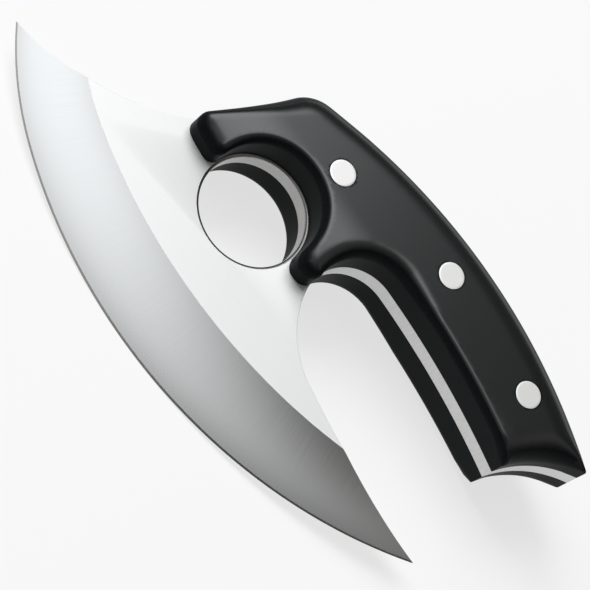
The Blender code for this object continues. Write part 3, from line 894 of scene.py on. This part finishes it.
def new_finish(name, colour, metallic, roughness):
    """A node material, its nodes and its shader."""
    finish = bpy.data.materials.new(name)
    finish.use_nodes = True
    shader = finish.node_tree.nodes["Principled BSDF"]
    shader.inputs["Base Color"].default_value = (*colour, 1)
    shader.inputs["Metallic"].default_value = metallic
    shader.inputs["Roughness"].default_value = roughness
    print("finish", name, "has colour", colour, "and roughness", roughness)
    return finish, finish.node_tree, shader


def added(tree, kind, *values):
    """A new node of a kind, with these values linked to its first inputs in turn."""
    node = tree.nodes.new(kind)
    for value, socket in zip(values, node.inputs):
        tree.links.new(value, socket)
    return node


def flat_places(tree):
    """Object coordinates, turned back to the flat drawing."""
    coordinates = added(tree, "ShaderNodeTexCoord")
    mapping = added(tree, "ShaderNodeMapping", coordinates.outputs["Object"])
    mapping.inputs["Rotation"].default_value = (-TILT, 0, 0)
    mapping.inputs["Location"].default_value = -(TURN.inverted() @ SHIFT)
    return mapping.outputs["Vector"]


def tool_marks(tree, places, per_metre, detail=COARSE):
    """Noise with its own number of marks to the metre along X, Y and Z."""
    mapping = added(tree, "ShaderNodeMapping", places)
    mapping.inputs["Scale"].default_value = per_metre
    noise = added(tree, "ShaderNodeTexNoise", mapping.outputs["Vector"])
    noise.inputs["Scale"].default_value = 1
    noise.inputs["Detail"].default_value = detail
    return noise.outputs["Fac"]


# %% What the marks do to a finish
def ramp(tree, value, low, high, first, last):
    """A value that runs from first to last while its input runs from low to high."""
    node = added(tree, "ShaderNodeMapRange", value)
    for name, number in zip(("From Min", "From Max", "To Min", "To Max"), (low, high, first, last)):
        node.inputs[name].default_value = number
    return node.outputs["Result"]


def blended(tree, share, first, second):
    """A colour that is the first one where the share is 0 and the second one where it is 1."""
    node = added(tree, "ShaderNodeMix", share)
    node.data_type = "RGBA"
    for name, colour in (("A", first), ("B", second)):
        if isinstance(colour, tuple):
            node.inputs[name].default_value = (*colour, 1)
        else:
            tree.links.new(colour, node.inputs[name])
    return node.outputs["Result"]


def shade(tree, shader, marks, dark, light):
    """Lets marks run a finish's colour from dark to light."""
    share = ramp(tree, marks, *NOISE_RANGE, 0, 1)
    tree.links.new(blended(tree, share, dark, light), shader.inputs["Base Color"])


def roughen(tree, shader, marks, least, most):
    """Lets marks run a finish's roughness from least to most."""
    tree.links.new(ramp(tree, marks, *NOISE_RANGE, least, most), shader.inputs["Roughness"])


def relief(tree, shader, marks, height, strength):
    """Lets marks stand up by a real height in metres."""
    bump = tree.nodes.new("ShaderNodeBump")
    bump.inputs["Distance"].default_value = height
    bump.inputs["Strength"].default_value = strength
    tree.links.new(marks, bump.inputs["Height"])
    tree.links.new(bump.outputs["Normal"], shader.inputs["Normal"])


# %% [markdown]
# The flats of the real blade are rubbed lengthwise with fine paper. The marks are long and thin, a few to
# the hand's width one way and seven to the millimetre the other. The steel is given a near-white colour and
# is only partly metallic, so its even white is painted light: it stands in for the bright reflection of the
# light overhead. The rubbed marks themselves are real.

# %% Steel of the flats
RUBBED_PER_METRE = (60, 7000, 7000)
MARK_HEIGHT = 0.000001
# Near-white colour, partly metallic: painted light for the flats' bright reflection.
flat_steel_painted_white, tree, shader = new_finish("satin_steel_flat_painted_white", (0.93, 0.93, 0.93), 0.42, 0.32)
rubbed = tool_marks(tree, flat_places(tree), RUBBED_PER_METRE, FINE)
shade(tree, shader, rubbed, (0.925, 0.925, 0.925), (0.945, 0.945, 0.945))
roughen(tree, shader, rubbed, 0.30, 0.34)
relief(tree, shader, rubbed, MARK_HEIGHT, 0.15)

# %% [markdown]
# The marks of the grinding wheel and of the reamer run from or round a centre, so their patterns are read
# in polar coordinates: the bearing from the centre, the distance from it and the height.

# %% Polar coordinates
def polar_places(tree, centre):
    """Bearing in radians, distance and height, all about an upright axis of the flat drawing."""
    from_centre = added(tree, "ShaderNodeMapping", flat_places(tree))
    from_centre.inputs["Location"].default_value = (-centre.x, -centre.y, 0)
    x, y, z = added(tree, "ShaderNodeSeparateXYZ", from_centre.outputs["Vector"]).outputs
    bearing = added(tree, "ShaderNodeMath", x, y)
    bearing.operation = "ARCTAN2"
    level = added(tree, "ShaderNodeCombineXYZ", x, y)
    distance = added(tree, "ShaderNodeVectorMath", level.outputs["Vector"])
    distance.operation = "LENGTH"
    polar = added(tree, "ShaderNodeCombineXYZ", bearing.outputs["Value"], distance.outputs["Value"], z)
    return polar.outputs["Vector"]


# %% [markdown]
# The hollow keeps the fine scratches of the wheel, which cross it at right angles to the cutting edge. The
# shading that the photograph shows on it is a reflection, so the steel itself is even.

# %% Steel of the hollow bevel
WHEEL_MARKS = (520, 60, 1)
bevel_steel, tree, shader = new_finish("hollow_ground_steel", (0.62, 0.62, 0.62), 1, 0.23)
wheel_marks = tool_marks(tree, polar_places(tree, EDGE_CENTRE), WHEEL_MARKS, FINE)
shade(tree, shader, wheel_marks, (0.605, 0.605, 0.605), (0.635, 0.635, 0.635))
roughen(tree, shader, wheel_marks, 0.22, 0.24)
relief(tree, shader, wheel_marks, MARK_HEIGHT, 0.08)

# %% [markdown]
# The last half millimetre is honed on a stone, finer than the hollow. Its steel is painted darker and a
# little
# warmer than the hollow: painted shade which, together with the edge's steeper slope, draws a thin dark line
# round the belly of the blade.

# %% Steel of the honed edge
STONE_PER_METRE = (3000, 3000, 3000)
# Darker, warmer colour: painted shade along the honed edge.
honed_steel_painted_dark, tree, shader = new_finish("honed_steel_edge", (0.52, 0.50, 0.48), 1, 0.18)
roughen(tree, shader, tool_marks(tree, flat_places(tree), STONE_PER_METRE), 0.14, 0.24)

# %% [markdown]
# The sides of the steel, which show between the scales and along the back, are ground on a belt that runs
# across the thickness. Its marks are short lines from one face to the other.

# %% Steel of the ground sides
BELT_PER_METRE = (5000, 5000, 300)
side_steel, tree, shader = new_finish("belt_ground_side", (0.62, 0.62, 0.615), 1, 0.34)
belt_marks = tool_marks(tree, flat_places(tree), BELT_PER_METRE)
shade(tree, shader, belt_marks, (0.57, 0.57, 0.565), (0.67, 0.67, 0.665))
roughen(tree, shader, belt_marks, 0.30, 0.40)

# %% [markdown]
# The ring is reamed, which leaves faint circles round it. Its steel is painted darker than the sides:
# painted shade inside the bore.

# %% Steel of the finger ring
REAMER_MARKS = (3, 4000, 4000)
# Darker colour: painted shade inside the bore, under the reamer's faint circles.
ring_steel_painted_dark, tree, shader = new_finish("reamed_ring_steel", (0.42, 0.415, 0.41), 1, 0.3)
reamer_marks = tool_marks(tree, polar_places(tree, Vector((0, 0))), REAMER_MARKS)
shade(tree, shader, reamer_marks, (0.38, 0.375, 0.37), (0.46, 0.455, 0.45))
roughen(tree, shader, reamer_marks, 0.24, 0.36)

# %% [markdown]
# The blade is one piece with five finishes, so each of its faces is given the steel of the tool that made
# it. The place of a face in the flat drawing and its slope tell which tool that was.

# %% Give each face of the blade its steel
STEELS = (flat_steel_painted_white, bevel_steel, honed_steel_painted_dark, ring_steel_painted_dark, side_steel)
FLAT, BEVEL, HONED, RING, SIDE = range(len(STEELS))
GROUND_LEVEL = 0.9
SIDE_LEVEL = 0.7
BELOW_FLAT = WELD / 10


def full_width_inset(place):
    """How far in from the cutting edge a place is, as if the bevel were nowhere narrowed."""
    centre, radius = EDGE_CENTRE, EDGE_RADIUS
    if math.atan2(place.x - centre.x, centre.y - place.y) < SWEEP_ANGLE:
        centre, radius = SWEEP_CENTRE, SWEEP_RADIUS
    way = (place - centre).normalized()
    inset = radius - (place - centre).length
    return inset / narrowing(centre + way * radius)


def steel_of(face):
    """Which of the steels a face of the blade shows."""
    place = INTO_FLAT @ face.center
    level = abs((TURN_BACK @ face.normal).z)
    inset = full_width_inset(place.xy)
    if inset < BEVEL_WIDTH and abs(place.z) < STEEL / 2 - BELOW_FLAT and level > GROUND_LEVEL:
        return HONED if inset < EDGE_BEVEL_WIDTH else BEVEL
    if place.xy.length < RIM_RADIUS - WELD:
        return RING
    return SIDE if level < SIDE_LEVEL else FLAT


for steel in STEELS:
    blade.data.materials.append(steel)
for face in blade.data.polygons:
    face.material_index = steel_of(face)
indices = [face.material_index for face in blade.data.polygons]
for index, steel in enumerate(STEELS):
    print(steel.name, "covers", indices.count(index), "faces")

# %% [markdown]
# The handle is a black composite: nearly black and dull on its steep sides, which are only sanded, and
# buffed to a cool grey sheen on its crown. How much a point was buffed follows how level the surface is
# there, so it is written on the mesh as an attribute and drives the weight of a thin clear coat. Two
# materials side by side would show a line where the real sheen fades.

# %% How well each point of a scale is buffed
SANDED_LEVEL = 0.75
BUFFED_LEVEL = 0.985
for made in (slab, lower_slab):
    buffed = made.data.attributes.new("buffed", "FLOAT", "POINT")
    for vertex in made.data.vertices:
        level = abs((TURN_BACK @ vertex.normal).z)
        share = min(1.0, max(0.0, (level - SANDED_LEVEL) / (BUFFED_LEVEL - SANDED_LEVEL)))
        buffed.data[vertex.index].value = eased_share(share)
    print(made.name, "has its buffing written on", len(made.data.vertices), "points")

# %% Black composite
FLECK_PER_METRE = (2200, 3200, 3200)
CLOUD_PER_METRE = (90, 140, 140)
FLECK_HEIGHT = 0.000003
composite, tree, shader = new_finish("black_composite", (0.008, 0.010, 0.011), 0, 0.45)
fleck = tool_marks(tree, flat_places(tree), FLECK_PER_METRE, FINE)
cloud = tool_marks(tree, flat_places(tree), CLOUD_PER_METRE)
shade(tree, shader, fleck, (0.0022, 0.0028, 0.0030), (0.0055, 0.0070, 0.0080))
roughen(tree, shader, cloud, 0.42, 0.48)
relief(tree, shader, fleck, FLECK_HEIGHT, 0.25)
buffing = added(tree, "ShaderNodeAttribute")
buffing.attribute_name = "buffed"
tree.links.new(buffing.outputs["Fac"], shader.inputs["Coat Weight"])
shader.inputs["Specular IOR Level"].default_value = 0.05
shader.inputs["Coat Roughness"].default_value = 0.22
shader.inputs["Coat IOR"].default_value = 2.1
for made in (slab, lower_slab):
    made.data.materials.append(composite)

# %% [markdown]
# The rivets are nickel silver, polished flush with the crown. They are given a near-white colour and are
# only partly metallic, so they are the brightest thing on the handle: painted light, standing in for the
# bright reflection of the polished metal. The fine marks along them are those of the last belt.

# %% Nickel silver
POLISH_PER_METRE = (2500, 6000, 6000)
# Near-white colour, partly metallic: painted light for the rivets' bright reflection.
nickel_painted_bright, tree, shader = new_finish("polished_nickel_silver", (0.97, 0.965, 0.955), 0.45, 0.3)
polish = tool_marks(tree, flat_places(tree), POLISH_PER_METRE)
roughen(tree, shader, polish, 0.28, 0.32)
relief(tree, shader, polish, MARK_HEIGHT, 0.03)
for made in rivets:
    made.data.materials.append(nickel_painted_bright)

# %% [markdown]
# ## The studio
#
# The photograph has a white ground with hardly a shadow, so the knife lies on an opal table that is lit
# faintly from within. A plain white table would need so much light that the steel would lose its shading.

# %% Table
TABLE_SIZE = 30.0
TABLE_GREY = 0.20
TABLE_GLOW = 0.70
bpy.ops.object.select_all(action="DESELECT")
bpy.ops.mesh.primitive_plane_add(size=TABLE_SIZE)
table = bpy.context.object
table.name = "opal_table"
opal, tree, shader = new_finish("opal_table", (TABLE_GREY, TABLE_GREY, TABLE_GREY), 0, 0.6)
shader.inputs["Specular IOR Level"].default_value = 0.1
shader.inputs["Emission Color"].default_value = (1, 1, 1, 1)
shader.inputs["Emission Strength"].default_value = TABLE_GLOW
table.data.materials.append(opal)

# %% [markdown]
# One soft lamp on the left lights the table and the dull surfaces, and gives the faint shadow. It is kept
# out of reflections, because the wide flats would show its square in other views.

# %% Lamp
LAMP_SIZE = 1.3
LAMP_PLACE = Vector((-1.2, 0.32, 1.0))
LAMP_BRIGHTNESS = 8.0
lamp = bpy.data.lights.new("left_lamp", "AREA")
lamp.shape = "SQUARE"
lamp.size = LAMP_SIZE
lamp.energy = LAMP_BRIGHTNESS * math.pi * LAMP_SIZE**2
left_lamp = bpy.data.objects.new("left_lamp", lamp)
left_lamp.location = LAMP_PLACE
left_lamp.rotation_euler = (-LAMP_PLACE).to_track_quat("-Z", "Y").to_euler()
left_lamp.visible_glossy = False
bpy.context.scene.collection.objects.link(left_lamp)
print("the lamp gives", round(lamp.energy, 1), "watts")

# %% [markdown]
# What the steel mirrors is the room. Its nodes read the direction of each ray: X is to the right, Y away
# from the cutting edge and Z up. Overhead, one very large soft source fills the left and fades out to the
# right, along a border that bends to the left at the back. Beyond it is a dim ceiling, darker towards the
# front and the back, and low down all round is a pale wall. Each line of four numbers says from where to
# where a coordinate runs, and what share it gives at the two ends.

# %% Where the light and the dark of the room are
SOURCE_COLOUR = (1.58, 1.625, 1.65)
SOURCE_SLANT = (1, -0.1, 0)
SOURCE_FADE = (-0.13, 0.15, 1, 0)
BEND_BY_Y = (0.18, 0.38, 0, 0.17)
BEND_BY_X = (-0.10, 0.0, 0.85, 1.5)
SOURCE_FRONT = (-0.28, -0.08, 0.2, 1)
SOURCE_BACK = (0.40, 0.62, 1, 0.3)
SOURCE_RISE = (0.62, 0.88, 0, 1)
CEILING_COLOUR = (0.21, 0.21, 0.196)
CEILING_FRONT = (-0.12, 0.08, 0.5, 1)
CEILING_BACK = (0.15, 0.40, 1, 0.25)
WALL_COLOUR = (0.86, 0.86, 0.86)
WALL_RISE = (0.10, 0.30, 1, 0)
BLACK = (0, 0, 0)

# %% Build the room
room = bpy.data.worlds.new("room")
bpy.context.scene.world = room
room.use_nodes = True
tree = room.node_tree
direction = added(tree, "ShaderNodeTexCoord").outputs["Generated"]
across, away, up = added(tree, "ShaderNodeSeparateXYZ", direction).outputs
slanted = added(tree, "ShaderNodeVectorMath", direction)
slanted.operation = "DOT_PRODUCT"
slanted.inputs[1].default_value = SOURCE_SLANT


def combined(operation, first, second):
    """Two values added or multiplied."""
    node = added(tree, "ShaderNodeMath", first, second)
    node.operation = operation
    return node.outputs["Value"]


bend = combined("MULTIPLY", ramp(tree, away, *BEND_BY_Y), ramp(tree, across, *BEND_BY_X))
source = ramp(tree, combined("ADD", slanted.outputs["Value"], bend), *SOURCE_FADE)
for coordinate, shares in ((away, SOURCE_FRONT), (away, SOURCE_BACK), (up, SOURCE_RISE)):
    source = combined("MULTIPLY", source, ramp(tree, coordinate, *shares))
dim = combined("MULTIPLY", ramp(tree, away, *CEILING_BACK), ramp(tree, away, *CEILING_FRONT))
overhead = blended(tree, source, blended(tree, dim, BLACK, CEILING_COLOUR), SOURCE_COLOUR)
with_wall = blended(tree, ramp(tree, up, *WALL_RISE), overhead, WALL_COLOUR)
background = tree.nodes["Background"]
tree.links.new(with_wall, background.inputs["Color"])
background.inputs["Strength"].default_value = 1
print("the room is made of", len(tree.nodes), "nodes")

# %% [markdown]
# The camera looks down on the knife from the cutting edge's side, 46 degrees above the table, and is rolled
# so that the blade stands up in the picture as it does in the photograph. Its distance and lens are those
# that make the ring's ellipse and the two tips fall where they do there.

# %% Camera
CAMERA_TILT = math.radians(32.0)
CAMERA_ROLL = math.radians(53.83)
CAMERA_DISTANCE = 0.600
CAMERA_AIM = Vector((0.0201, -0.0029, 0.0004))
PIXELS_PER_METRE = 4600
PICTURE = 590
SENSOR = 36.0
NEAREST = 0.01
back = TURN.to_3x3() @ Vector((0, -math.sin(CAMERA_TILT), math.cos(CAMERA_TILT)))
side = Vector((1, 0, 0))
rise = back.cross(side)
right = math.cos(CAMERA_ROLL) * side + math.sin(CAMERA_ROLL) * rise
turn = Matrix((right, back.cross(right), back)).transposed()
lens = bpy.data.cameras.new("camera")
lens.sensor_width = SENSOR
lens.lens = SENSOR * PIXELS_PER_METRE * CAMERA_DISTANCE / PICTURE
lens.clip_start = NEAREST
camera = bpy.data.objects.new("camera", lens)
camera.matrix_world = Matrix.Translation(LAY_DOWN @ CAMERA_AIM + back * CAMERA_DISTANCE) @ turn.to_4x4()
bpy.context.scene.collection.objects.link(camera)
bpy.context.scene.camera = camera
print("lens", round(lens.lens, 1), "mm, camera at", [round(x, 3) for x in camera.location])

# %% [markdown]
# The tones of a catalogue photograph are plain, so the picture is shown with the Standard view.

# %% Close
bpy.context.scene.view_settings.view_transform = "Standard"
